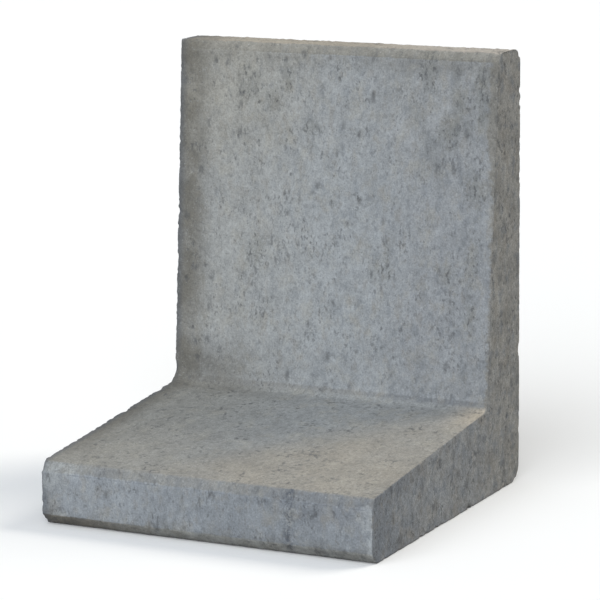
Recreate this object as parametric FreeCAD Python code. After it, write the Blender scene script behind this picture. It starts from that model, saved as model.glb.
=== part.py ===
"""L-shaped concrete retaining block, cast in one piece.

The block stands on its foot. X runs along the wall, the toe of the foot points
to -Y, the flat back of the stem faces +Y, and Z is up. The origin is at the
middle of the underside, on the floor. All sizes are in millimetres.

The section is the same from one end to the other, because the block is cast
between two flat end plates. So the whole block is one profile in the Y-Z plane,
pushed straight along X.
"""
import FreeCAD, Part
import math
import os

# Overall size
WIDTH = 400.0
DEPTH = 400.0
HEIGHT = 500.0

# The stem's thickness where its sloping front meets the top and the foot
STEM_TOP = 63.0
STEM_ROOT = 93.0

# The foot's height at the toe and where its sloping top meets the stem
FOOT_TOE = 72.0
FOOT_ROOT = 101.0

# Cut corners of the mould: how far each one goes back, and how far down or up
TOP_EDGE_BACK = 9.0
TOP_EDGE_DOWN = 10.0
TOE_EDGE_BACK = 7.0
TOE_EDGE_DOWN = 12.0
SOLE_EDGE_BACK = 11.0
SOLE_EDGE_UP = 12.0

# Rounded corners
BACK_TOP_RADIUS = 18.0
BACK_BOTTOM_RADIUS = 21.0
COVE_RADIUS = 14.0


def point(y, z):
    """A point of the section, on the block's left end."""
    return FreeCAD.Vector(-WIDTH / 2, y, z)


def towards(start, goal, distance):
    """The point that lies a distance from start on the way to goal."""
    return start + (goal - start).normalize() * distance


def cut_corner(before, corner, after, cut_before, cut_after):
    """The two ends of the flat cut that replaces a sharp corner."""
    return [towards(corner, before, cut_before), towards(corner, after, cut_after)]


def round_corner(before, corner, after, radius):
    """The start, middle and end of the arc that replaces a sharp corner."""
    to_before = (before - corner).normalize()
    to_after = (after - corner).normalize()
    half_angle = to_before.getAngle(to_after) / 2
    reach = radius / math.tan(half_angle)
    centre_distance = radius / math.sin(half_angle)
    to_centre = (to_before + to_after).normalize()
    return [
        corner + to_before * reach,
        corner + to_centre * (centre_distance - radius),
        corner + to_after * reach,
    ]


def section():
    """The closed L-shaped outline as a face."""
    toe = -DEPTH / 2
    back = DEPTH / 2

    # Sharp corners, as the flat faces of the mould meet
    sole_front = point(toe, 0)
    toe_top = point(toe, FOOT_TOE)
    inner = point(back - STEM_ROOT, FOOT_ROOT)
    stem_front = point(back - STEM_TOP, HEIGHT)
    stem_back = point(back, HEIGHT)
    sole_back = point(back, 0)

    # The corners as cast, in order from the front of the sole over the top
    sole_cut = cut_corner(sole_back, sole_front, toe_top, SOLE_EDGE_BACK, SOLE_EDGE_UP)
    toe_cut = cut_corner(sole_front, toe_top, inner, TOE_EDGE_DOWN, TOE_EDGE_BACK)
    cove = round_corner(toe_top, inner, stem_front, COVE_RADIUS)
    top_cut = cut_corner(inner, stem_front, stem_back, TOP_EDGE_DOWN, TOP_EDGE_BACK)
    top_round = round_corner(stem_front, stem_back, sole_back, BACK_TOP_RADIUS)
    sole_round = round_corner(stem_back, sole_back, sole_front, BACK_BOTTOM_RADIUS)

    # Two points make a straight stretch, and three make an arc
    stretches = [sole_cut, toe_cut, cove, top_cut, top_round, sole_round]
    edges = []
    last = stretches[-1][-1]
    for stretch in stretches:
        edges.append(Part.LineSegment(last, stretch[0]).toShape())
        curve = Part.Arc(*stretch) if len(stretch) == 3 else Part.LineSegment(*stretch)
        edges.append(curve.toShape())
        last = stretch[-1]
    return Part.Face(Part.Wire(edges))


def retaining_block():
    """The cast block: the section pushed along the wall."""
    return section().extrude(FreeCAD.Vector(WIDTH, 0, 0))


def main():
    os.makedirs("parts", exist_ok=True)
    block = retaining_block()
    block.exportStep("parts/retaining_block.step")
    box = block.BoundBox
    print("size in mm:", round(box.XLength, 3), round(box.YLength, 3), round(box.ZLength, 3))
    print("valid:", block.isValid(), "solids:", len(block.Solids))
    print("volume in litres:", round(block.Volume / 1e6, 3))


main()
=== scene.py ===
# %% [markdown]
# # A cast concrete L-block
#
# The object is a small retaining block. A foot lies on the ground, a stem stands on its back
# edge, and both were cast in one pour. Its solid model is clean and sharp. Real cast concrete
# isn't: air leaves pores against the mould, the long edges crumble when the mould comes off,
# and cement, sand and dust colour each face a little differently.
#
# This lesson keeps the solid model's shape and size, and makes one new skin over it that has
# those traces. First the solid model is loaded, and its box is kept for the end.

# %% Load the solid model
import math

import bmesh
import bpy
import numpy as np
from mathutils import Matrix, Vector, kdtree, noise
from mathutils.geometry import delaunay_2d_cdt


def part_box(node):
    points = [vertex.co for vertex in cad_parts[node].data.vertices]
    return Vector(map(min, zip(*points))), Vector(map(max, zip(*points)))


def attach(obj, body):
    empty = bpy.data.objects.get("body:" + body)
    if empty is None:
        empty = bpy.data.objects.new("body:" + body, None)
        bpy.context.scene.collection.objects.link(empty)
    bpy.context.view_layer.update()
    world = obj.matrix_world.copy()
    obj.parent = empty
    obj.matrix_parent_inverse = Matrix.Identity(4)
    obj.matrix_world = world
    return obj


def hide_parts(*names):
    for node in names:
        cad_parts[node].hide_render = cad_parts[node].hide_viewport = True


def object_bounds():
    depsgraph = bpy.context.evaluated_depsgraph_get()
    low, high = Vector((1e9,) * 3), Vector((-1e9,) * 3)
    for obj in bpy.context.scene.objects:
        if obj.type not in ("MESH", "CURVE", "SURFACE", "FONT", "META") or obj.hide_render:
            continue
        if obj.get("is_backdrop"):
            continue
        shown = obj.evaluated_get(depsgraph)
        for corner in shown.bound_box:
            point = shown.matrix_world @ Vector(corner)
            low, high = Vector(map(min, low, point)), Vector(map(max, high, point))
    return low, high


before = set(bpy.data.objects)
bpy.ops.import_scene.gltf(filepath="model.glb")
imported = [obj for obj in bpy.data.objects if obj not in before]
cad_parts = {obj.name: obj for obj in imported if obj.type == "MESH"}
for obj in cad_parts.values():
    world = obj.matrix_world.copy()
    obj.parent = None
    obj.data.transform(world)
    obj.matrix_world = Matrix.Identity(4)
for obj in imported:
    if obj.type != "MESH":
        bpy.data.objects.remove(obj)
cad_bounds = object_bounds()

MM = 0.001
LEFT, RIGHT = -1, 1
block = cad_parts["retaining_block"]
low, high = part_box("retaining_block")
half_width = high.x
middle = (low + high) / 2
print("solid model, in mm:", [round(side / MM) for side in high - low])

# %% [markdown]
# ## The section
#
# The block was cast between two flat end plates, so it has one L-shaped section all along.
# The outline could be typed in again, but then it might drift away from the solid model. It
# is read off the model's right end instead: the edges where the end meets the long faces form
# a closed ring, and walking along that ring gives the corners in order.

# %% Read the section off the solid model


def corners_of_end(solid):
    """The corners of the right end as (y, z), anticlockwise, from the back of the sole on."""
    shape = bmesh.new()
    shape.from_mesh(solid.data)
    bmesh.ops.remove_doubles(shape, verts=shape.verts, dist=0.01 * MM)
    shape.verts.index_update()
    end = {face for face in shape.faces if face.normal.x > 0.99}
    beside = {}
    for edge in {edge for face in end for edge in face.edges}:
        if not end.issuperset(edge.link_faces):
            first, second = (vertex.index for vertex in edge.verts)
            beside.setdefault(first, []).append(second)
            beside.setdefault(second, []).append(first)
    place = {vertex.index: (vertex.co.y, vertex.co.z) for vertex in shape.verts}
    shape.free()

    here = min(beside, key=lambda vertex: (round(place[vertex][1], 6), -place[vertex][0]))
    start, last, ring = here, max(beside[here], key=lambda vertex: place[vertex][1]), []
    while not ring or here != start:
        ring.append(place[here])
        last, here = here, next(vertex for vertex in beside[here] if vertex != last)
    return np.array(ring[:1] + ring[:0:-1])


section_corners = corners_of_end(block)
print("corners in the section:", len(section_corners))

# %% [markdown]
# ## The profile, as cast
#
# Mould corners are never razor sharp. The outline is cut into millimetre steps, and each step
# is averaged with its neighbours a few times. Straight stretches stay where they are, and the
# corners become about as round as wet concrete leaves them. A Bevel modifier could do this
# too, but the outline is needed as numbers later on: `profile` gives the place and the outward
# direction at any distance along it.

# %% Soften the outline and measure along it
STEP = 1.0 * MM
SOFTENING_PASSES = 5


def even_steps(ring, step):
    """The same closed ring as points an even distance apart."""
    closed = np.vstack([ring, ring[:1]])
    lengths = np.linalg.norm(np.diff(closed, axis=0), axis=1)
    along = np.concatenate([[0], np.cumsum(lengths)])
    at = np.linspace(0, along[-1], round(along[-1] / step), endpoint=False)
    return np.column_stack([np.interp(at, along, closed[:, axis]) for axis in (0, 1)])


# The ring starts at the middle of the sole, where a seam will never show
sole_start, sole_end = section_corners[0], section_corners[-1]
ring = np.vstack([(sole_start + sole_end) / 2, section_corners])
outline = even_steps(ring, STEP)
for _ in range(SOFTENING_PASSES):
    outline = (np.roll(outline, 1, axis=0) + 2 * outline + np.roll(outline, -1, axis=0)) / 4

steps = np.linalg.norm(np.roll(outline, -1, axis=0) - outline, axis=1)
girth = steps.sum()
outline_at = np.concatenate([[0], np.cumsum(steps)[:-1]])
tangent = np.roll(outline, -1, axis=0) - np.roll(outline, 1, axis=0)
tangent /= np.linalg.norm(tangent, axis=1, keepdims=True)
outward = np.column_stack([tangent[:, 1], -tangent[:, 0]])


def profile(along, values):
    """Values of the outline's points, read at distances along it."""
    columns = [np.interp(along, outline_at, column, period=girth) for column in values.T]
    return np.column_stack(columns)


print("girth of the section in mm:", round(girth / MM, 1))

# %% [markdown]
# ## Where the mould left its creases
#
# The long edges were cut flat by strips in the mould. Where a strip met the mould wall, a thin
# line is left in the concrete. These are the corners of the section that turn sharply; the
# round corners are many small turns instead. They are needed as distances along the outline.

# %% Find the sharp corners
SHARP_TURN = math.radians(25)


def sharp_corners(ring):
    """Distances along the outline of the corners that turn sharply."""
    before = ring - np.roll(ring, 1, axis=0)
    after = np.roll(ring, -1, axis=0) - ring
    heading = np.arctan2(after[:, 1], after[:, 0]) - np.arctan2(before[:, 1], before[:, 0])
    turn = np.abs((heading + math.pi) % (2 * math.pi) - math.pi)
    found = ring[turn > SHARP_TURN]
    nearest = [np.argmin(np.linalg.norm(outline - corner, axis=1)) for corner in found]
    return outline_at[nearest]


creases = sharp_corners(section_corners)
top_edge, top_crease, toe_edge, *_, sole_edge = creases
print("creases at, in mm along the outline:", (creases / MM).round())

# %% [markdown]
# ## Pores
#
# Air bubbles caught against the mould leave pores, from pinheads to a few millimetres across.
# They come in loose clusters, and they are a little longer in the direction in which the
# mould was drawn off. Each pore is a centre, a radius, a stretch and a depth. A seeded random
# generator places them, so every run makes the same block.

# %% Scatter pores over a flat stretch of skin
PORES_PER_SQUARE_METRE = 5000
PORE_RADIUS = 0.75 * MM
PORE_SPREAD = 0.4
WIDE_PORE, FINE_PORE, LARGEST_PORE = 1.7 * MM, 0.7 * MM, 2.4 * MM
CLUSTER_SIZE = 30 * MM

dice = np.random.default_rng(11)


def scatter_pores(size_along, size_across, seed):
    """Pores on a rectangle, one a row: along, across, radius, stretch along, depth."""
    tries = round(PORES_PER_SQUARE_METRE * size_along * size_across * 2)
    along = dice.uniform(0, size_along, tries)
    across = dice.uniform(-size_across / 2, size_across / 2, tries)
    spots = np.column_stack([along / CLUSTER_SIZE, across / CLUSTER_SIZE, np.full(tries, seed)])
    crowding = np.array([noise.noise(spot) for spot in spots])
    kept = dice.uniform(-0.5, 0.5, tries) < crowding
    radius = np.minimum(PORE_RADIUS * dice.lognormal(0, PORE_SPREAD, tries), LARGEST_PORE)
    stretch = dice.uniform(1.0, 2.0, tries)
    depth = radius * dice.uniform(0.4, 0.7, tries)
    return np.column_stack([along, across, radius, stretch, depth])[kept]


def pore_points(pores):
    """Skin points for each pore: its middle and an uneven ring round its rim."""
    points = [pores[:, :2]]
    for along, across, radius, stretch, _ in pores:
        corners = 8 if radius > WIDE_PORE else 6 if radius > FINE_PORE else 5
        turn = np.arange(corners) / corners * 2 * math.pi + dice.uniform(0, 1)
        reach = radius * dice.uniform(0.8, 1.15, corners)
        offset = np.column_stack([reach * stretch * np.cos(turn), reach * np.sin(turn)])
        ring = offset + (along, across)
        points.append(ring)
        if radius > WIDE_PORE:
            points.append((ring + (along, across)) / 2)
    return np.vstack(points)


def search_tree(points):
    """A tree that finds the points of a flat sheet nearest to a place."""
    nearby = kdtree.KDTree(len(points))
    for index, point in enumerate(points):
        nearby.insert((*point, 0), index)
    nearby.balance()
    return nearby


def pore_depths(points, pores):
    """How deep each point lies in its deepest pore."""
    depths = np.zeros(len(points))
    nearby = search_tree(points)
    for along, across, radius, stretch, depth in pores:
        near = [index for _, index, _ in nearby.find_range((along, across, 0), radius * stretch)]
        offset = (points[near] - (along, across)) / (radius * stretch, radius)
        shape = 1 - np.sum(offset**2, axis=1)
        depths[near] = np.maximum(depths[near], depth * np.clip(shape * 1.6, 0, 1))
    return depths


# %% [markdown]
# ## Points for the skin
#
# A grid fine enough for a one-millimetre pore all over would need millions of faces. So the
# skin gets its points where they are needed: a wide, slightly uneven lattice on the plain
# stretches, close rows along the crumbling edges and the creases, and rings round the pores.
# Delaunay triangles then join any set of points without slivers.
#
# The long faces are laid out flat as one sheet, `along` the outline and `across` the width,
# like wrapping paper. The two ends are sheets of their own.

# %% Helpers that lay out points
LATTICE = 4.7 * MM
# Rows beside a crumbling edge, in mm: how far in, and how far apart their points are
EDGE_ROWS = ((0.0, 1.6), (0.7, 1.6), (1.5, 2.2), (2.7, 2.9), (4.3, 3.6))
EDGE_MARGIN = 6.5 * MM
CREASE_ROWS = (-1.2 * MM, 0.0, 1.2 * MM)
CREASE_PITCH = 3.4 * MM


def line_across(at, across):
    """Points straight across the sheet."""
    return np.column_stack([np.full(len(across), at), across])


def line_along(along, across):
    """Points straight along the sheet."""
    return np.column_stack([along, np.full(len(along), across)])


def lattice(low_corner, high_corner, pitch):
    """Staggered rows of points over a rectangle, each nudged a little."""
    rows = np.arange(low_corner[1], high_corner[1] + pitch / 4, pitch * math.sqrt(3) / 2)
    points = []
    for number, across in enumerate(rows):
        along = np.arange(low_corner[0] + (number % 2) * pitch / 2, high_corner[0], pitch)
        points.append(line_along(along, across))
    points = np.vstack(points)
    return points + dice.uniform(-0.14, 0.14, points.shape) * pitch


def clear_of(points, pores, reach=1.35):
    """The points that lie outside every pore's ring."""
    nearby = search_tree(points)
    taken = set()
    for along, across, radius, stretch, _ in pores:
        for spot, index, _ in nearby.find_range((along, across, 0), radius * stretch * reach):
            if math.hypot((spot[0] - along) / stretch, spot[1] - across) < radius * reach:
                taken.add(index)
    return np.delete(points, sorted(taken), axis=0)


def inside(points, low_corner, high_corner):
    """The points that lie in a rectangle."""
    return points[np.all((points > low_corner) & (points < high_corner), axis=1)]


def joined(points, rim=()):
    """Delaunay triangles over the points, only inside the rim if one is given."""
    flat = [Vector(point) for point in points]
    faces = [list(rim)] if len(rim) else []
    _, _, triangles, sources, _, _ = delaunay_2d_cdt(flat, [], faces, 1 if faces else 0, 1e-7)
    first = [source[0] for source in sources]
    return np.array([[first[corner] for corner in triangle] for triangle in triangles])


# %% [markdown]
# ## The crack in the toe
#
# One fine crack runs down the toe, about a quarter of the width in from the right, and small
# pits have broken out along it. The crack is narrower than any lattice here, so it gets its
# own wandering line of points with a shallow lip on each side, and a chain of pits beside it,
# described in the same way as the pores.

# %% Trace the crack
CRACK_ACROSS = 0.51 * half_width
CRACK_STEP = 1.6 * MM
CRACK_WANDER = 5.0 * MM
CRACK_BEND = 22 * MM
CRACK_LIP = 0.9 * MM
CRACK_DEPTH = 0.6 * MM
PIT_RADIUS = 0.9 * MM
PIT_SCATTER = 1.7 * MM
PITS = 34

crack_along = np.arange(toe_edge + 1 * MM, sole_edge - 4 * MM, CRACK_STEP)


def crack_middle(at):
    """Where the crack lies across the block at distances along the outline."""
    bends = np.array([noise.noise((spot / CRACK_BEND, 4.2, 0)) for spot in at])
    return CRACK_ACROSS + CRACK_WANDER * bends


crack_line = np.column_stack([crack_along, crack_middle(crack_along)])
crack_points = np.vstack([crack_line + (0, side * CRACK_LIP) for side in (-1, 0, 1)])

pit_along = crack_along[0] + (crack_along[-1] - crack_along[0]) * dice.uniform(0, 1, PITS) ** 1.3
pit_radius = PIT_RADIUS * dice.lognormal(0, 0.35, PITS)
pit_across = crack_middle(pit_along) + PIT_SCATTER * dice.normal(0, 1, PITS)
pit_stretch = dice.uniform(1.0, 1.9, PITS)
pits = np.column_stack([pit_along, pit_across, pit_radius, pit_stretch, pit_radius * 0.6])
print("crack, in mm:", round((crack_along[-1] - crack_along[0]) / MM), "with", len(pits), "pits")

# %% [markdown]
# ## The sheet round the long faces
#
# The sheet's first and last columns are the same column on the block, under the sole, and
# its two long sides are the crumbling edges that it shares with the end sheets. So those
# points are made first, in a known order, and the rest may come in any order.

# %% Points and triangles of the sheet
EDGE_CLEAR, SEAM_CLEAR = 0.4 * MM, 0.8 * MM

edge_depths = np.array([depth for depth, _ in EDGE_ROWS]) * MM
inner_width = half_width - EDGE_MARGIN
inner_across = np.linspace(-inner_width, inner_width, round(2 * inner_width / LATTICE))
right_rows = half_width - edge_depths[::-1]
seam_across = np.concatenate([-half_width + edge_depths, inner_across, right_rows])
edge_along = np.linspace(0, girth, round(girth / (EDGE_ROWS[0][1] * MM)) + 1)[1:-1]

seam = [line_across(at, seam_across) for at in (0, girth)]
edges = [line_along(edge_along, side * half_width) for side in (LEFT, RIGHT)]

sheet_pores = np.vstack([scatter_pores(girth, 2 * (half_width - 3 * MM), seed=3.7), pits])
loose = []
for depth, pitch in EDGE_ROWS[1:]:
    along = np.arange(pitch, girth / MM - pitch / 2, pitch) * MM
    loose += [line_along(along, side * (half_width - depth * MM)) for side in (LEFT, RIGHT)]
for crease in creases:
    across = np.arange(-inner_width, inner_width, CREASE_PITCH)
    loose += [line_across(crease + offset, across) for offset in CREASE_ROWS]
loose.append(lattice((LATTICE, -inner_width), (girth - LATTICE / 2, inner_width), LATTICE))
loose.append(crack_points)
loose = np.vstack([clear_of(np.vstack(loose), sheet_pores), pore_points(sheet_pores)])
clear_width = half_width - EDGE_CLEAR
loose = inside(loose, (SEAM_CLEAR, -clear_width), (girth - SEAM_CLEAR, clear_width))

sheet_points = np.vstack([*seam, *edges, loose])
sheet_triangles = joined(sheet_points)
print("sheet:", len(sheet_points), "points and", len(sheet_triangles), "triangles")

# %% [markdown]
# ## The two ends
#
# An end sheet is the flat L inside the outline. Its rim repeats the edge points of the long
# sheet, in the same order, so that the two sheets can share them. Towards the rim the rows
# draw close again, and the lattice fills the rest. One larger pit, near the top of the right
# end, is given and described like a pore.

# %% Points and triangles of the ends
RIM_CLEAR = 0.6 * MM

outline_tree = search_tree(outline[:, ::-1])


def gap_to_outline(points):
    """How far each (z, y) point of an end lies from the outline."""
    return np.array([outline_tree.find((*point, 0))[2] for point in points])


def end_sheet(seed, extra_pores=()):
    """Points of one end as (z, y) with the rim first, triangles, and pores."""
    rim_along = np.concatenate([[0], edge_along])
    rim = profile(rim_along, outline)[:, ::-1]
    facing = profile(rim_along, outward)[:, ::-1]
    corner, far_corner = rim.min(axis=0), rim.max(axis=0)
    pores = scatter_pores(*(far_corner - corner), seed)
    pores[:, :2] += corner[0], (corner[1] + far_corner[1]) / 2
    pores = np.vstack([pores, *extra_pores])

    rows = [rim - facing * depth for depth in edge_depths[1:]]
    rows = [row[gap_to_outline(row) > 0.85 * depth] for row, depth in zip(rows, edge_depths[1:])]
    field = lattice(corner, far_corner, LATTICE)
    field = field[gap_to_outline(field) > EDGE_MARGIN]
    fill = np.vstack([clear_of(np.vstack([*rows, field]), pores), pore_points(pores)])
    fill = fill[gap_to_outline(fill) > RIM_CLEAR]
    points = np.vstack([rim, fill])
    return points, joined(points, range(len(rim))), pores


top_pit = (high.z - 14 * MM, high.y - 27 * MM, 2.3 * MM, 1.2, 1.8 * MM)
end_sheets = [end_sheet(8.1), end_sheet(12.6, [top_pit])]
for points, triangles, pores in end_sheets:
    print("end:", len(points), "points,", len(triangles), "triangles,", len(pores), "pores")

# %% [markdown]
# ## One list of points for the whole skin
#
# A point that two sheets share must be one point, or the skin would have open edges. The
# sheet's last column is its first column again, and each end's rim is one of the sheet's long
# sides, so those points only need renumbering. The flat coordinates of every triangle corner
# are kept, because they make a picture map without any stretching later on.

# %% Number the shared points
seam_count, edge_count = len(seam_across), len(edge_along)
sheet_number = np.arange(len(sheet_points))
sheet_number[seam_count : 2 * seam_count] = np.arange(seam_count)
left_edge = 2 * seam_count + np.arange(edge_count)
rims = [
    np.concatenate([[0], left_edge]),
    np.concatenate([[seam_count - 1], left_edge + edge_count]),
]

places = [np.column_stack([sheet_points[:, 1], profile(sheet_points[:, 0], outline)])]
numbers = [sheet_number]
total = len(sheet_points)
for (points, _, _), rim_numbers, side in zip(end_sheets, rims, (LEFT, RIGHT)):
    fill = points[len(rim_numbers) :]
    numbers.append(np.concatenate([rim_numbers, total + np.arange(len(fill))]))
    places.append(np.column_stack([np.full(len(fill), side * half_width), fill[:, 1], fill[:, 0]]))
    total += len(fill)
places = np.vstack(places)

# Turned over, the right end faces outwards like the other two sheets
(left_points, left_triangles, _), (right_points, right_triangles, _) = end_sheets
flat_sheets = [
    (sheet_points, sheet_triangles),
    (left_points, left_triangles),
    (right_points, right_triangles[:, ::-1]),
]
triangles = np.vstack([numbers[i][tris] for i, (_, tris) in enumerate(flat_sheets)])
flat_corners = np.vstack([points[tris].reshape(-1, 2) for points, tris in flat_sheets])
sheet_of = np.concatenate([np.full(len(tris), i) for i, (_, tris) in enumerate(flat_sheets)])
print("skin:", len(triangles), "triangles")

# %% [markdown]
# ## Which way is in
#
# Nearly everything that happens to the skin happens inwards, because the mould set how far out
# the concrete could go. A point on a long face moves against that face's outward direction, and
# a point on an end moves along the width. A point on the edge between them belongs to both,
# so it moves along both directions.

# %% Find each point's directions
sheet_count = len(sheet_points)
is_sheet = np.arange(len(places)) < sheet_count
is_rim = np.zeros(len(places), bool)
is_rim[np.concatenate(rims)] = True

nearest = [outline_tree.find((z, y, 0)) for _, y, z in places]
edge_gap = np.where(is_sheet, half_width - np.abs(places[:, 0]), [gap for _, _, gap in nearest])
edge_gap[is_rim] = 0
outline_place = outline_at[[index for _, index, _ in nearest]]
outline_place[:sheet_count] = sheet_points[:, 0]
long_in = np.column_stack([np.zeros(len(places)), -profile(outline_place, outward)])
end_in = np.column_stack([-np.sign(places[:, 0]), np.zeros((len(places), 2))])
on_long = (is_sheet | is_rim)[:, None]
on_end = (~is_sheet | is_rim)[:, None]
print("points that two sheets share:", is_rim.sum())

# %% [markdown]
# ## Crumbled edges
#
# When the end plates come off, the sharp edges lose a little concrete: under a millimetre
# everywhere, sand grains in many places, and now and then a small chip. In section, a crumbled
# edge is a sloping cut. A point that lies `gap` from the edge, on a cut that takes off `cut`,
# moves in by half of the difference along both directions, and so comes to lie on the slope.

# %% Take the edges off
EDGE_LOSS = {LEFT: 0.8 * MM, RIGHT: 0.6 * MM}
EDGE_UNEVENNESS = {LEFT: 1.0 * MM, RIGHT: 0.5 * MM}
EDGE_WAVE = 11 * MM
GRAINS_PER_EDGE = {LEFT: 190, RIGHT: 60}
GRAIN_WIDTH = (2.2 * MM, 5.5 * MM)
GRAIN_CUT = (1.0 * MM, 2.6 * MM)
CHIPS_PER_EDGE = {LEFT: 16, RIGHT: 7}
CHIP_WIDTH = (4 * MM, 11 * MM)
CHIP_CUT = (2.2 * MM, 4.6 * MM)


def edge_cut(at, side):
    """How much the edge has lost at distances along it, on the left or the right."""
    wave = np.array([noise.fractal((spot / EDGE_WAVE, side * 5.3, 0), 0.6, 2.2, 3) for spot in at])
    cut = EDGE_LOSS[side] + EDGE_UNEVENNESS[side] * np.clip(wave, -0.4, 1)
    edge_dice = np.random.default_rng(31 + side)
    for count, widths, cuts in (
        (GRAINS_PER_EDGE[side], GRAIN_WIDTH, GRAIN_CUT),
        (CHIPS_PER_EDGE[side], CHIP_WIDTH, CHIP_CUT),
    ):
        for _ in range(count):
            centre, width = edge_dice.uniform(0, girth), edge_dice.uniform(*widths)
            bite = 1 - ((at - centre) / width) ** 2
            cut = np.maximum(cut, edge_dice.uniform(*cuts) * np.clip(bite, 0, 1) ** 0.7)
    return cut


near_edge = np.flatnonzero(edge_gap < CHIP_CUT[1])
lost = np.zeros(len(places))
for side in (LEFT, RIGHT):
    here = near_edge[np.sign(places[near_edge, 0]) == side]
    lost[here] = np.clip(edge_cut(outline_place[here], side) - edge_gap[here], 0, None) / 2
print("deepest chip, in mm:", round(lost.max() * 2 / MM, 1))

# %% [markdown]
# ## Where the corner strip ended
#
# The strip in the mould that cut the stem's top edge was a little short. It ended before the
# left end, so the slanting face fades out there and the corner is almost square. The skin
# stands out over the solid model's cut by as much as the missing corner holds, and still
# stays inside the solid model's box.

# %% Find what fills the strip's left end
STRIP_LEFT_OUT = 20 * MM
FILLED_SHARE = 0.85


def corner_filling():
    """How far the skin stands out where the mould's corner strip was left out."""
    strip = top_crease - top_edge
    edge_to_corner = section_corners[:, 1].max() - profile(np.array([top_crease]), outline)[0, 1]
    top_leg = math.sqrt(strip**2 - edge_to_corner**2)
    peak_at, peak = top_leg**2 / strip, top_leg * edge_to_corner / strip
    into_strip = outline_place - top_edge
    tent = np.minimum(into_strip / peak_at, (strip - into_strip) / (strip - peak_at))
    near_left = np.clip(1 - (places[:, 0] + half_width) / STRIP_LEFT_OUT, 0, 1)
    fade = near_left**2 * (3 - 2 * near_left)
    return peak * FILLED_SHARE * np.clip(tent, 0, 1) * fade * on_long[:, 0]


filling = corner_filling()
print("corner filled by, in mm:", round(filling.max() / MM, 1))

# %% [markdown]
# ## Waves, grain, pores, creases and the crack
#
# The rest of the relief is a depth at each point. A long soft wave keeps the faces from
# looking machined, dents and a short rough grain are the sand in the mix, and the pores,
# creases and the crack come from what was laid out above. The rounded back edge of the top
# was finished with a trowel, so its grain is coarser.

# %% Add up the relief
WAVE_SIZE, WAVE_DEPTH = 70 * MM, 0.5 * MM
DENT_SIZE, DENT_DEPTH = 16 * MM, 0.3 * MM
GRAIN_SIZE, GRAIN_DEPTH = 5 * MM, 0.25 * MM
TROWEL_REACH, TROWEL_FADE, TROWEL_DEPTH = 14 * MM, 8 * MM, 0.9 * MM
CREASE_WIDTH, CREASE_DEPTH = 1.1 * MM, 0.25 * MM


def unevenness(size, seed):
    """Noise between 0 and 1 at every point of the skin."""
    moved = Vector((seed, 0, 0))
    values = np.array([noise.noise(Vector(place) / size + moved) for place in places])
    return np.clip(values * 0.9 + 0.5, 0, 1)


pore_depth = np.zeros(len(places))
for (points, _, pores), number in zip([(sheet_points, None, sheet_pores), *end_sheets], numbers):
    pore_depth[number] = np.maximum(pore_depth[number], pore_depths(points, pores))

in_crease = np.zeros(len(places))
for crease in creases:
    gap = np.abs(outline_place - crease)
    in_crease = np.maximum(in_crease, np.clip(1 - gap / CREASE_WIDTH, 0, 1) * is_sheet)
in_crease *= np.clip(unevenness(25 * MM, 7) * 2 - 0.4, 0, 1)

crack_tree = search_tree(crack_line)
crack_gaps = np.array([crack_tree.find((*point, 0))[2] for point in sheet_points])
in_crack = np.zeros(len(places))
in_crack[:sheet_count] = np.maximum(0, 1 - crack_gaps / CRACK_LIP)
in_crack *= np.clip(unevenness(9 * MM, 12) * 2.5 - 0.8, 0, 1)

depth = WAVE_DEPTH * unevenness(WAVE_SIZE, 0) + DENT_DEPTH * unevenness(DENT_SIZE, 5)
above = places[:, 2] - (high.z - TROWEL_REACH)
trowelled = np.clip(above / TROWEL_FADE, 0, 1) * (outline_place < top_edge)
depth += (GRAIN_DEPTH + TROWEL_DEPTH * trowelled) * unevenness(GRAIN_SIZE, 3)
depth += pore_depth + CREASE_DEPTH * in_crease + CRACK_DEPTH * in_crack
shifts = depth[:, None] * (long_in * on_long + end_in * on_end) + lost[:, None] * (long_in + end_in)
shifts -= filling[:, None] * long_in
skin_places = places + shifts
print("deepest point, in mm:", round(depth.max() / MM, 1))

# %% [markdown]
# ## The skin as a mesh
#
# `from_pydata` takes points and faces as plain lists. Three numbers ride along with each point
# as attributes, so that the concrete's colour can follow its shape: how far it lies in a
# pore, how far in a crease or the crack, and how much a crumbled edge has lost there.

# %% Build the mesh
FULL_MARK = 0.5 * MM

used = np.unique(triangles)
renumber = np.zeros(len(places), int)
renumber[used] = np.arange(len(used))

skin_mesh = bpy.data.meshes.new("cast_skin")
skin_mesh.from_pydata(skin_places[used].tolist(), [], renumber[triangles].tolist())
skin_mesh.validate()

marks = {
    "pore": np.clip(pore_depth / FULL_MARK, 0, 1),
    "line": np.maximum(in_crease, in_crack),
    "worn": np.clip(lost / FULL_MARK, 0, 1),
}
for name, values in marks.items():
    layer = skin_mesh.attributes.new(name, "FLOAT", "POINT")
    layer.data.foreach_set("value", values[used].astype(np.float32))

skin = bpy.data.objects.new("cast_block", skin_mesh)
bpy.context.collection.objects.link(skin)
skin_mesh.shade_smooth()

check = bmesh.new()
check.from_mesh(skin_mesh)
open_edges = sum(not (edge.is_manifold and edge.is_contiguous) for edge in check.edges)
litres = check.calc_volume(signed=True) * 1000
check.free()
print("faces:", len(skin_mesh.polygons), "bad edges:", open_edges, "litres:", round(litres, 2))

# %% [markdown]
# ## A picture map
#
# Blender can unwrap a mesh by itself, but on a rough skin it makes thousands of scraps. The
# sheets are flat already, so they are simply laid out on one square, at the same scale and
# with a small gap between: the long sheet in two lengths, cut where it turns down from the
# top, and each end in two rectangles, its stem and its foot.

# %% Lay the sheets out on the map
MAP_GAP = 6 * MM
FOOT_SHARE = 0.24
width = 2 * half_width
first_length, second_length = top_crease, girth - top_crease
foot_top = high.z * FOOT_SHARE
stem_width = high.y - outline[outline[:, 1] > foot_top][:, 0].min()
map_side = max(second_length + 2 * MAP_GAP, first_length + 2 * stem_width + 4 * MAP_GAP)

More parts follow.
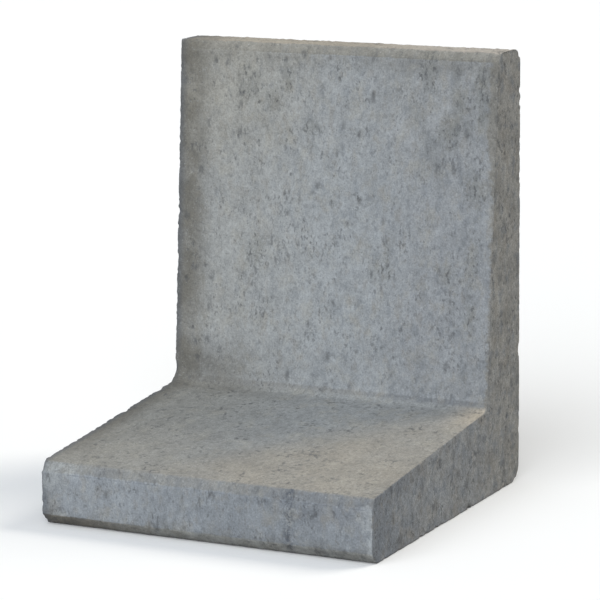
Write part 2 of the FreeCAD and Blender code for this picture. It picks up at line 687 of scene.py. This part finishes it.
middles = flat_corners.reshape(-1, 3, 2).mean(axis=1)
on_second = (sheet_of == 0) & (middles[:, 0] > top_crease)
on_stem = (sheet_of > 0) & (middles[:, 0] > foot_top)
on_foot = (sheet_of > 0) & ~on_stem

offsets = np.zeros((len(triangles), 2))
offsets[sheet_of == 0] = (MAP_GAP, MAP_GAP + half_width)
offsets[on_second] = (MAP_GAP - top_crease, 2 * MAP_GAP + width + half_width)

map_places = flat_corners.copy()
for end, side in ((1, LEFT), (2, RIGHT)):
    corners = np.repeat(sheet_of == end, 3)
    map_places[corners] = map_places[corners][:, ::-1] * (side, 1)
    near_side = high.y if side == LEFT else stem_width - high.y
    stem_column = first_length + 2 * MAP_GAP + (end - 1) * (stem_width + MAP_GAP)
    offsets[on_stem & (sheet_of == end)] = (stem_column + near_side, MAP_GAP - foot_top)
    foot_column = MAP_GAP + high.y + (end - 1) * (width + MAP_GAP)
    offsets[on_foot & (sheet_of == end)] = (foot_column, 3 * MAP_GAP + 2 * width)

map_places = (map_places + np.repeat(offsets, 3, axis=0)) / map_side
picture_map = skin_mesh.uv_layers.new(name="OFBake")
picture_map.uv.foreach_set("vector", map_places.astype(np.float32).ravel())
print("map reaches from", map_places.min(axis=0).round(3), "to", map_places.max(axis=0).round(3))

# %% [markdown]
# ## Shader nodes in short form
#
# Concrete has no picture to paste on. Its finish is worked out from places on the block, by a
# tree of nodes. Written in full, each node takes three or four lines, so a few small helpers
# do the wiring: `add` adds any node, `ramp` turns a number into a soft mask, and the others
# are sums that come back often.

# %% Helpers that add nodes
concrete = bpy.data.materials.new("cast_concrete")
concrete.use_nodes = True
tree = concrete.node_tree
tree.nodes.clear()


def fill_in(socket, value):
    """Join an input to another node's output, or give it a plain value."""
    if isinstance(value, bpy.types.NodeSocket):
        tree.links.new(value, socket)
    elif value is not None:
        socket.default_value = value


def add(kind, *inputs, **settings):
    """A node with its settings made and its first inputs filled in, in order."""
    made = tree.nodes.new("ShaderNode" + kind)
    for name, value in settings.items():
        setattr(made, name, value)
    for socket, value in zip(made.inputs, inputs):
        fill_in(socket, value)
    return made.outputs[0]


def add_named(kind, inputs):
    """A node with inputs filled in by name."""
    made = tree.nodes.new("ShaderNode" + kind)
    for name, value in inputs.items():
        fill_in(made.inputs[name], value)
    return made.outputs[0]


def ramp(value, start, end):
    """0 where value is at start or before it, 1 from end on, smooth between."""
    return add("MapRange", value, start, end, 0.0, 1.0, interpolation_type="SMOOTHSTEP")


def maths(operation, *inputs):
    return add("Math", *inputs, operation=operation)


def times(*factors):
    """The product of any number of masks."""
    product = factors[0]
    for factor in factors[1:]:
        product = maths("MULTIPLY", product, factor)
    return product


def inverse(mask):
    """1 where the mask is 0, and 0 where it is 1."""
    return maths("SUBTRACT", 1.0, mask)


def raised(base, mask, gain):
    """A number, raised by this gain where the mask is 1."""
    return maths("ADD", base, times(mask, gain))


def between(below, above, mask):
    """One number, or another where the mask is 1."""
    return maths("ADD", times(below, inverse(mask)), times(above, mask))


# %% [markdown]
# ## Noises and layers of colour
#
# Real stains have no borders, so every mask is soft, and most are broken up by noise, a field
# of numbers around a half. Colours go over one another like thin washes of paint: `lay_over`
# takes the colour below and then pairs, each a colour and the mask of where it shows.

# %% Helpers for noise and colour
NOISE_SPAN = (0.3, 0.7)


def fractal(place, size, detail, roughness):
    """Noise around a half, with its largest shapes about this size, in metres."""
    return add("TexNoise", place, None, 1 / size, detail, roughness, noise_dimensions="3D")


def patches(place, size, start, end):
    """A mask of soft patches of about this size, in metres."""
    return ramp(fractal(place, size, 4.0, 0.55), start, end)


def spread_out(texture, least, most):
    """A noise stretched so that nearly all of it lies from least to most."""
    return add("MapRange", texture, *NOISE_SPAN, least, most)


def swing(texture, amount):
    """A factor around 1 that goes this much up and down with a noise."""
    return spread_out(texture, inverse(amount), maths("ADD", 1.0, amount))


def mixed(below, above, mask, blend_type):
    """One colour mixed with another where the mask is 1."""
    made = add("Mix", data_type="RGBA", blend_type=blend_type).node
    inputs = {socket.identifier: socket for socket in made.inputs}
    for name, value in (("Factor_Float", mask), ("A_Color", below), ("B_Color", above)):
        fill_in(inputs[name], value)
    return next(socket for socket in made.outputs if socket.identifier == "Result_Color")


def lay_over(below, *layers):
    """A colour with others laid over it in turn, each given with its mask."""
    for above, mask in layers:
        below = mixed(below, above, mask, "MIX")
    return below


def paint(red, green, blue):
    """A colour given in steps up to 255, turned into what shader nodes want."""
    return (*(((part / 255 + 0.055) / 1.055) ** 2.4 for part in (red, green, blue)), 1.0)


# %% [markdown]
# ## Where on the block
#
# Each stain and tint belongs to a part of the block, so the masks start from places. `Object`
# coordinates are metres on the block itself, from its middle and from the ground. The
# direction a face looks in tells the ends from the long faces, and what looks up.

# %% Places and directions for the masks
coordinates = tree.nodes.new("ShaderNodeTexCoord")
place = coordinates.outputs["Object"]
to_right, to_back, height = add("SeparateXYZ", place).node.outputs
looks_right, looks_back, looks_up = add("SeparateXYZ", coordinates.outputs["Normal"]).node.outputs


def mark(name):
    """The number that the mesh holds at each point under this name."""
    return add("Attribute", attribute_name=name).node.outputs["Fac"]


def drawn_out(stretch):
    """Places squeezed along the way the mould was drawn, so that patterns come out longer."""
    return add("VectorMath", place, (1.0, 1 / stretch, 1 / stretch), operation="MULTIPLY")


def moved(place, distance):
    """Places moved far off, so that a noise shows another part of itself."""
    return add("VectorMath", place, (distance, distance, distance), operation="ADD")


on_top = ramp(looks_up, 0.55, 0.9)
on_end = ramp(maths("ABSOLUTE", looks_right), 0.55, 0.85)
not_top, not_end = inverse(on_top), inverse(on_end)
on_front = times(ramp(looks_back, -0.45, -0.8), not_end)
to_the_left = ramp(to_right, 0.03, -0.16)
to_the_right = ramp(to_right, 0.0, 0.16)
high_up = ramp(height, 0.30, 0.48)

# %% [markdown]
# ## The cement skin
#
# The plain colour of each face comes first. The front dried against a smooth mould and is a
# cool grey, browner to the left and slate to the right. The ends are dull, because the end
# plates pulled the sand up: brownish at the stem, bluer towards the toe. What looks up has
# caught beige dust. On the foot the beige is laid thickest in front of a slanting line that
# follows the border of the stem's shadow, so there it is partly dust and partly painted light.

# %% Plain colours of the faces
COOL_GREY = paint(152, 156, 159)
WARM_GREY = paint(155, 152, 142)
SLATE_GREY = paint(136, 139, 143)
UPPER_GREY = paint(146, 147, 146)
TOE_GREY = paint(134, 139, 144)
TOE_LEFT_GREY = paint(145, 150, 155)
TOE_RIGHT_GREY = paint(130, 134, 139)
TOE_STRIP_GREY = paint(132, 133, 132)
STRIP_RIGHT_GREY = paint(119, 122, 125)
LOWER_STRIP_GREY = paint(162, 163, 160)
LOWER_LEFT_GREY = paint(122, 118, 110)
FOOT_GREY = paint(140, 143, 144)
FOOT_WARM_GREY = paint(139, 139, 135)
DUST_AND_PAINTED_LIGHT = paint(143, 139, 131)
TOP_STRIP_GREY = paint(140, 138, 131)
TOP_GREY = paint(165, 158, 149)
TOP_LEFT_GREY = paint(154, 147, 135)
END_GREY = paint(144, 143, 139)
END_FOOT_GREY = paint(142, 144, 145)
END_BROWN = paint(135, 130, 122)
END_BLUE = paint(120, 125, 131)
CLOUD_SIZE = 130 * MM

clouds = fractal(place, CLOUD_SIZE, 4.0, 0.6)
broken = add("MapRange", clouds, 0.35, 0.65, 0.6, 1.0)
# The slanting line follows the border of the stem's shadow: the beige in front of it is partly dust and
# partly painted light on the lit side.
shadow_border_slant = maths("SUBTRACT", times(to_right, 0.73), times(to_back, 0.68))
dust_and_painted_light = maths("MAXIMUM", ramp(shadow_border_slant, 0.02, 0.11), times(ramp(to_back, 0.02, -0.15), 0.35))

lower_strip = lay_over(LOWER_STRIP_GREY, (LOWER_LEFT_GREY, ramp(to_right, -0.02, -0.17)))
toe_colour = lay_over(
    TOE_GREY,
    (TOE_LEFT_GREY, ramp(to_right, 0.08, -0.12)),
    (TOE_RIGHT_GREY, times(ramp(to_right, 0.09, 0.15), ramp(height, 0.02, 0.05), 0.8)),
    (lower_strip, ramp(looks_up, -0.2, -0.45)),
)
strip_colour = lay_over(
    TOE_STRIP_GREY,
    (STRIP_RIGHT_GREY, ramp(to_right, 0.02, 0.11)),
    (TOP_STRIP_GREY, ramp(height, 0.2, 0.3)),
)
# Beige dust, partly painted light on the lit side of the stem's shadow border
foot_colour = lay_over(FOOT_GREY, (FOOT_WARM_GREY, to_the_left), (DUST_AND_PAINTED_LIGHT, times(dust_and_painted_light, broken)))
top_colour = lay_over(
    TOP_GREY,
    (TOP_LEFT_GREY, ramp(to_right, 0.14, 0.0)),
    (END_BROWN, times(ramp(to_right, -0.12, -0.18), 0.7)),
)
end_colour = lay_over(
    END_FOOT_GREY,
    (END_GREY, maths("MAXIMUM", ramp(height, 0.07, 0.17), ramp(to_back, 0.04, 0.17))),
    (END_BLUE, times(ramp(to_back, -0.04, -0.18), 0.8)),
)
colour = lay_over(
    COOL_GREY,
    (WARM_GREY, times(to_the_left, broken, raised(0.4, high_up, 0.6))),
    (SLATE_GREY, times(to_the_right, broken, 0.9)),
    (UPPER_GREY, times(high_up, 0.3)),
    (toe_colour, ramp(height, 0.095, 0.08)),
    (strip_colour, times(ramp(looks_up, 0.25, 0.45), 0.9)),
    (foot_colour, times(on_top, ramp(height, 0.3, 0.2))),
    (top_colour, times(ramp(looks_up, 0.8, 0.95), ramp(height, 0.2, 0.3))),
    (end_colour, on_end),
)

# %% [markdown]
# ## Light and dark in the cement
#
# Cement never dries to one tone. It has slow clouds, mottles as large as a thumb, and the
# grain of the sand: noises of different sizes that make the colour some percent lighter or
# darker. The ends get streaks as well, because the end plates scraped along them. Two more
# noises tint patches of the cement brown or blue.

# %% Mottles, streaks and sand
MOTTLE_SIZE = 20 * MM
BLOTCH_SIZE = 10 * MM
STREAK_SIZE = 8 * MM
COARSE_SAND_SIZE = 4.5 * MM
SAND_SIZE = 1.9 * MM
BLOTCH_GREY = paint(106, 112, 119)
BLOTCH_BROWN = paint(132, 126, 116)

dragged = add("VectorMath", place, (1.0, 1.0, 0.6), operation="MULTIPLY")
mottle = fractal(moved(drawn_out(1.5), 3.1), MOTTLE_SIZE, 5.0, 0.7)
coarse_sand = fractal(moved(drawn_out(1.3), 5.7), COARSE_SAND_SIZE, 3.0, 0.65)
sand = fractal(place, SAND_SIZE, 3.0, 0.6)
streaks = fractal(moved(dragged, 8.3), STREAK_SIZE, 4.0, 0.7)
tone = times(
    swing(clouds, 0.05),
    swing(mottle, raised(0.13, on_end, 0.10)),
    swing(coarse_sand, raised(0.13, on_end, 0.06)),
    swing(sand, raised(0.17, on_end, 0.08)),
    swing(streaks, times(on_end, 0.09)),
)

hue = fractal(moved(drawn_out(1.4), 12.9), MOTTLE_SIZE, 4.0, 0.65)
blotch = fractal(moved(drawn_out(1.7), 27.0), BLOTCH_SIZE, 3.0, 0.55)
blotch_share = raised(raised(0.32, to_the_left, -0.16), on_end, 0.2)
colour = lay_over(
    colour,
    (WARM_GREY, times(ramp(hue, 0.48, 0.7), 0.35, not_end)),
    (END_BROWN, times(ramp(hue, 0.51, 0.64), 0.36, on_end)),
    (END_BLUE, times(ramp(hue, 0.49, 0.36), 0.4, on_end, ramp(height, 0.25, 0.1))),
    (BLOTCH_GREY, times(ramp(blotch, 0.53, 0.67), blotch_share, not_top)),
    (BLOTCH_BROWN, times(ramp(blotch, 0.46, 0.34), 0.22, not_top)),
)

# %% [markdown]
# ## Stains and painted shade along the edges
#
# The stem's left side and its upper right corner are stained brown and olive, where the mould
# was damp or oiled. Towards the left rim the brown is partly painted shade, and a thin dark
# line at the very edge is painted shade. The right rim is dirty too, and wanders in and out by
# some millimetres. The inner corner is darkened with painted shade, and a stain runs along the
# bottom.

# %% Stained areas and painted shade
BROWN_STAIN_AND_SHADE = paint(104, 101, 93)
OLIVE_STAIN = paint(110, 111, 106)
CORNER_SHADE_GREY = paint(103, 101, 95)
RIM_GREY = paint(124, 121, 114)
DARK_BLUE = paint(80, 86, 96)
RIM_WANDER = 5 * MM
RIM_WIDER = 7 * MM

ragged = raised(0.5, patches(place, 35 * MM, 0.38, 0.62), 0.5)
left_band = times(ramp(to_right, -0.145, -0.188), ramp(height, 0.09, 0.14), not_end)
# Partly brown stain, partly painted shade: the rim darkens towards the left edge, most above the toe.
left_rim_stain_and_shade = times(ramp(to_right, -0.160, -0.198), not_end, raised(1.0, left_band, -0.6))
left_rim_stain_and_shade = times(left_rim_stain_and_shade, raised(0.25, ramp(height, 0.070, 0.085), 0.6))
# Painted shade: a thin dark line at the very left edge.
left_edge_shade = times(ramp(to_right, -0.188, -0.199), not_end)

rim_wander = spread_out(fractal(moved(place, 17.0), 12 * MM, 5.0, 0.75), -RIM_WANDER, RIM_WANDER)
rim_place = raised(maths("ADD", to_right, rim_wander), ramp(height, 0.33, 0.40), RIM_WIDER)
right_rim = times(ramp(rim_place, 0.193, 0.200), ramp(height, 0.04, 0.11), on_front)
upper_right = times(ramp(to_right, 0.04, 0.15), ramp(height, 0.30, 0.45), on_front)
olive = times(upper_right, patches(drawn_out(1.8), 40 * MM, 0.44, 0.62))

under_strip = times(ramp(height, 0.466, 0.484), on_front)
# Painted shade in the inner corner between the stem and the foot, strongest towards the left.
corner_shade = times(ramp(height, 0.165, 0.112), ramp(to_back, 0.06, 0.108), not_end)
corner_shade = times(corner_shade, raised(0.08, ramp(to_right, -0.04, -0.18), 0.7))
bottom_line = times(ramp(height, 0.026, 0.013), patches(place, 18 * MM, 0.40, 0.62), not_end)

colour = lay_over(
    colour,
    (BROWN_STAIN_AND_SHADE, times(left_band, ragged, 0.8)),
    # brown stain and painted shade along the left rim, then a painted dark line at its edge
    (BROWN_STAIN_AND_SHADE, left_rim_stain_and_shade),
    (DARK_BLUE, times(left_edge_shade, 0.55)),
    (RIM_GREY, times(right_rim, 0.8)),
    (OLIVE_STAIN, times(olive, 0.4)),
)

# %% [markdown]
# ## Single spots
#
# Damp, limy and bluish spots on the front are listed, as across, up, half width and half
# height, in millimetres; one pale streak among the limy spots, on the toe's right edge, is a
# painted highlight. A noise pushes each spot's limit in and out, so it is ragged. The painted
# shade in the inner corner and the stains go over them last.

# %% Spots on the front
LIME_AND_HIGHLIGHT = paint(178, 182, 183)
RAGGEDNESS = 1.4

DAMP_SPOTS = (
    (116, 476, 8, 24), (142, 404, 10, 13), (181, 452, 8, 26), (177, 346, 8, 14),
    (176, 265, 5, 22), (174, 205, 5, 12), (145, 246, 7, 8), (71, 262, 4, 18),
    (-109, 451, 12, 13), (-77, 432, 8, 10), (-28, 405, 8, 7), (-62, 460, 6, 12),
    (60, 250, 7, 10), (-96, 262, 8, 12),
)
# The last spot, a narrow streak on the toe's right edge, is a painted highlight; the others are lime.
LIME_AND_HIGHLIGHT_SPOTS = ((-190, 50, 12, 8), (-184, 64, 16, 7), (194, 49, 7, 9), (198, 25, 3, 16))
BLUE_SPOTS = ((96, 61, 16, 6), (122, 48, 9, 10), (160, 55, 10, 5), (70, 56, 12, 4), (101, 16, 6, 8))


def spots(places, seed):
    """Ragged soft spots on the front."""
    ragged_edge = fractal(moved(drawn_out(1.4), seed), 7 * MM, 5.0, 0.75)
    push = spread_out(ragged_edge, RAGGEDNESS, -RAGGEDNESS)
    total = 0.0
    for across, up, half_wide, half_tall in places:
        sideways = maths("DIVIDE", maths("SUBTRACT", to_right, across * MM), half_wide * MM)
        upwards = maths("DIVIDE", maths("SUBTRACT", height, up * MM), half_tall * MM)
        reach = maths("SQRT", maths("ADD", times(sideways, sideways), times(upwards, upwards)))
        total = maths("MAXIMUM", total, ramp(maths("ADD", reach, push), 2.0, 0.2))
    return times(total, on_front)


damp = spots(DAMP_SPOTS, 4.4)
bluish = spots(BLUE_SPOTS, 9.1)
colour = lay_over(
    colour,
    (OLIVE_STAIN, times(damp, 0.35)),
    # lime spots, and a painted highlight on the toe's right edge
    (LIME_AND_HIGHLIGHT, times(spots(LIME_AND_HIGHLIGHT_SPOTS, 6.6), 0.42)),
    (DARK_BLUE, times(bluish, 0.22)),
    (BROWN_STAIN_AND_SHADE, times(under_strip, ragged, 0.3)),
    # painted shade in the inner corner
    (CORNER_SHADE_GREY, times(corner_shade, ragged)),
    (BROWN_STAIN_AND_SHADE, times(bottom_line, 0.3)),
)

# %% [markdown]
# ## Specks and pinholes
#
# The smallest pores and the dark grains are left to the colour and the bump. Dark specks are
# the peaks of a fine noise, kept where a slower noise makes them crowd together. Pinholes are
# the middles of Voronoi cells, and blots are wide pinholes that the specks' noise breaks up.

# %% Where specks, pinholes and blots are
SPECK_SIZE = 3.0 * MM
END_SPECK_SIZE = 3.4 * MM
FOOT_SPECK_SIZE = 5.5 * MM
FLECK_SIZE = 2.8 * MM


def pinholes(size, radius, share, stretch):
    """Round spots in the middles of a share of the cells of this size."""
    cells = add("TexVoronoi", drawn_out(stretch), None, 1 / size).node
    near = ramp(cells.outputs["Distance"], radius / size, 0.4 * radius / size)
    chosen = add("SeparateColor", cells.outputs["Color"])
    return times(near, ramp(chosen, 1 - share, 1 - 0.6 * share))


up_marks = fractal(moved(drawn_out(2.0), 21.0), SPECK_SIZE, 2.0, 0.5)
foot_marks = fractal(moved(drawn_out(1.2), 23.0), FOOT_SPECK_SIZE, 2.0, 0.5)
end_marks = fractal(moved(dragged, 15.0), END_SPECK_SIZE, 3.0, 0.6)
speck_noise = between(between(up_marks, foot_marks, on_top), end_marks, on_end)

crowded = maths("MAXIMUM", patches(drawn_out(1.5), 22 * MM, 0.48, 0.66), maths("MAXIMUM", damp, bluish))
end_crowded = raised(0.2, patches(moved(place, 35.0), 18 * MM, 0.42, 0.6), 0.9)
speck_share = raised(raised(0.16, on_top, 0.26), crowded, 0.8)
speck_share = raised(maths("MAXIMUM", speck_share, times(on_end, end_crowded)), damp, 0.25)
specks = times(ramp(speck_noise, 0.54, 0.67), speck_share)

# Pinholes are darkened as painted shade inside the tiny holes.
pins = pinholes(3.0 * MM, 1.0 * MM, 0.5, 1.5)
blots = times(pinholes(17 * MM, 5.5 * MM, 0.6, 1.6), ramp(up_marks, 0.34, 0.52), not_top)
flecks = ramp(fractal(moved(place, 31.0), FLECK_SIZE, 2.0, 0.5), 0.62, 0.72)

# %% [markdown]
# ## Wear, pores and lines
#
# The larger pores, the creases, the crack and the worn edges are in the mesh, and the marks
# it holds darken them; in the pores this darkening is painted shade. Worn edges show pale sand
# on the right, and on the left they are darkened with painted shade. A painted highlight lies
# on the foot by the inner right corner, and a dark stain has crept in beside the crack.

# %% Lay on the wear, the specks and the marks of the mesh
DARK_PORE = paint(86, 88, 90)
EXPOSED_SAND = paint(156, 150, 140)
PALE_HIGHLIGHT = paint(182, 169, 150)
STAIN_REACH = 9 * MM

worn, pore, line = mark("worn"), mark("pore"), mark("line")
dark_wear = times(worn, to_the_right, patches(place, 20 * MM, 0.50, 0.60))
# A painted highlight on the foot by the inner right corner, where the warm back light catches it.
inner_right_highlight = times(ramp(to_right, 0.150, 0.198), ramp(to_back, 0.01, 0.09), on_top)
inner_right_highlight = times(inner_right_highlight, ramp(height, 0.2, 0.15))
line_colour = lay_over(DARK_BLUE, (BROWN_STAIN_AND_SHADE, high_up))
crack_gap = maths("ABSOLUTE", maths("SUBTRACT", to_right, CRACK_ACROSS))
beside_crack = times(ramp(crack_gap, STAIN_REACH, 1 * MM), ramp(height, 0.085, 0.075), on_front)
crack_stain = times(beside_crack, ramp(fractal(moved(place, 41.0), 4.5 * MM, 3.0, 0.6), 0.47, 0.58))

colour = lay_over(
    colour,
    (EXPOSED_SAND, times(worn, to_the_right, 0.45)),
    (DARK_BLUE, times(dark_wear, 0.6)),
    # painted highlight by the inner right corner
    (PALE_HIGHLIGHT, times(inner_right_highlight, 0.5)),
    # painted shade along the worn left edge
    (DARK_BLUE, times(worn, to_the_left, 0.55)),
    (DARK_PORE, times(specks, raised(0.56, on_end, 0.14))),
    # painted shade in the pinholes
    (DARK_PORE, times(pins, 0.28)),
    (DARK_PORE, times(blots, 0.5)),
    (LIME_AND_HIGHLIGHT, times(flecks, 0.22)),
    # painted shade inside the larger pores of the mesh
    (DARK_PORE, times(pore, 0.5)),
    (line_colour, times(line, 0.3)),
    (DARK_BLUE, times(crack_stain, 0.65)),
)

# %% [markdown]
# ## Roughness and bump
#
# The same noises drive the bump, so that light and shape agree: grains stand up, specks and
# pinholes lie deeper. Dry concrete is rough: only the smooth cement skin between the grains
# has a faint sheen.

# %% Finish the shader
BUMP_STRENGTH = 0.75
BUMP_HEIGHT = 0.55 * MM
SHEEN = 0.35

colour = mixed(colour, add("CombineColor", tone, tone, tone), 1.0, "MULTIPLY")

grains = maths("ADD", times(sand, 0.3), times(coarse_sand, 0.6))
grains = maths("ADD", grains, times(streaks, on_end, 0.5))
holes = maths("ADD", times(specks, 0.9), times(pins, 0.5))
relief = maths("SUBTRACT", grains, holes)
bump = {"Strength": BUMP_STRENGTH, "Distance": BUMP_HEIGHT, "Height": relief}
finish = {
    "Base Color": colour,
    "Roughness": spread_out(coarse_sand, 0.8, 0.95),
    "Specular IOR Level": SHEEN,
    "Normal": add_named("Bump", bump),
}
surface = tree.nodes.new("ShaderNodeOutputMaterial")
tree.links.new(add_named("BsdfPrincipled", finish), surface.inputs["Surface"])
skin_mesh.materials.append(concrete)
print("nodes in the finish:", len(tree.nodes))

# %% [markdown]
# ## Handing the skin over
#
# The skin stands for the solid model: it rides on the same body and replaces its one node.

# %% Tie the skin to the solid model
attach(skin, "root")
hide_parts("retaining_block")

# %% [markdown]
# ## The floor
#
# A plain pale floor carries the block and its shadow. It runs far past the picture, because
# the camera looks across it at a low angle. The camera sees it near white, but it throws less
# light back at the block than a white floor would.

# %% Lay the floor
FLOOR_REACH = 30
FLOOR_SEEN = (0.93, 0.93, 0.93, 1)
FLOOR_BOUNCE = (0.36, 0.36, 0.36, 1)

floor_mesh = bpy.data.meshes.new("floor")
disc = bmesh.new()
bmesh.ops.create_circle(disc, cap_ends=True, segments=96, radius=FLOOR_REACH)
disc.to_mesh(floor_mesh)
disc.free()
floor = bpy.data.objects.new("floor", floor_mesh)
bpy.context.collection.objects.link(floor)
floor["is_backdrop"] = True

pale = bpy.data.materials.new("pale_floor")
pale.use_nodes = True
tree = pale.node_tree
rays = tree.nodes.new("ShaderNodeLightPath")
floor_colour = lay_over(FLOOR_BOUNCE, (FLOOR_SEEN, rays.outputs["Is Camera Ray"]))
matt = tree.nodes["Principled BSDF"].inputs
tree.links.new(floor_colour, matt["Base Color"])
matt["Roughness"].default_value = 1.0
matt["Specular IOR Level"].default_value = 0.0
floor_mesh.materials.append(pale)

# %% [markdown]
# ## Light
#
# Soft daylight is a broad light with no hard shadow. Two sun lamps with a very wide angle
# light everything evenly wherever it stands: a cool one from the front, and a weaker, warmer
# one from high behind the right shoulder of the block, which lays the stem's soft shadow
# across the foot. The world fills in from all round.

# %% Set up the light
WORLD_FILL = (0.38, 0.40, 0.42, 1)


def sun(name, azimuth, elevation, strength, colour, spread):
    """A wide sun that shines from a compass direction: 0 is the front, 90 the right."""
    lamp = bpy.data.lights.new(name, "SUN")
    lamp.energy = strength * math.pi
    lamp.color = colour
    lamp.angle = math.radians(spread)
    holder = bpy.data.objects.new(name, lamp)
    turn = Matrix.Rotation(math.radians(azimuth), 4, "Z")
    tilt = Matrix.Rotation(math.radians(90 - elevation), 4, "X")
    holder.matrix_world = turn @ tilt
    bpy.context.collection.objects.link(holder)


sun("front_daylight", azimuth=0, elevation=35, strength=0.73, colour=(0.97, 1.0, 1.03), spread=70)
sun("high_back_light", azimuth=138, elevation=46, strength=0.42, colour=(1.0, 0.94, 0.84), spread=26)

world = bpy.data.worlds.new("studio")
world.use_nodes = True
bpy.context.scene.world = world
tree = world.node_tree
tree.nodes.clear()
fill = add("Background", WORLD_FILL, 1.0)
white = add("Background", (1, 1, 1, 1), 1.0)
rays = tree.nodes.new("ShaderNodeLightPath")
seen = maths("MAXIMUM", rays.outputs["Is Camera Ray"], rays.outputs["Is Glossy Ray"])
seen = maths("MAXIMUM", seen, rays.outputs["Is Transmission Ray"])
backdrop = add("MixShader", seen, fill, white)
tree.links.new(backdrop, tree.nodes.new("ShaderNodeOutputWorld").inputs[0])
bpy.context.scene.view_settings.view_transform = "Standard"

# %% [markdown]
# ## The camera
#
# A long lens from well back keeps the block's edges nearly parallel. The camera stands to the
# right of the front and a little above, so that the front, the foot and the right end show.

# %% Place the camera
VIEW_AZIMUTH = math.radians(26.4)
VIEW_ELEVATION = math.radians(11.2)
VIEW_ROLL = math.radians(-0.55)
CAMERA_DISTANCE = 3.436
LENS = 185.8
AIM_RIGHT, AIM_UP = 17.3 * MM, -18.7 * MM

level = math.cos(VIEW_ELEVATION)
sideways, backwards = math.sin(VIEW_AZIMUTH) * level, -math.cos(VIEW_AZIMUTH) * level
away = Vector((sideways, backwards, math.sin(VIEW_ELEVATION)))
turned = away.to_track_quat("Z", "Y").to_matrix().to_4x4() @ Matrix.Rotation(VIEW_ROLL, 4, "Z")
aim = middle + turned @ Vector((AIM_RIGHT, AIM_UP, 0))
camera_data = bpy.data.cameras.new("camera")
camera_data.lens = LENS
camera = bpy.data.objects.new("camera", camera_data)
camera.matrix_world = Matrix.Translation(aim + away * CAMERA_DISTANCE) @ turned
bpy.context.collection.objects.link(camera)
bpy.context.scene.camera = camera

# %% [markdown]
# ## Sizes at the end
#
# The filled corner stays inside the solid model's box, and the rest of the skin only ever
# moved inwards. So the skin's box should be the solid model's, less a hair.

# %% Print the two boxes and finish
boxes = {
    "cad": [list(corner) for corner in cad_bounds],
    "visual": [list(corner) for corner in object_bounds()],
}
for name, corners in boxes.items():
    print(name, "box in mm:", [[round(value / MM, 1) for value in corner] for corner in corners])
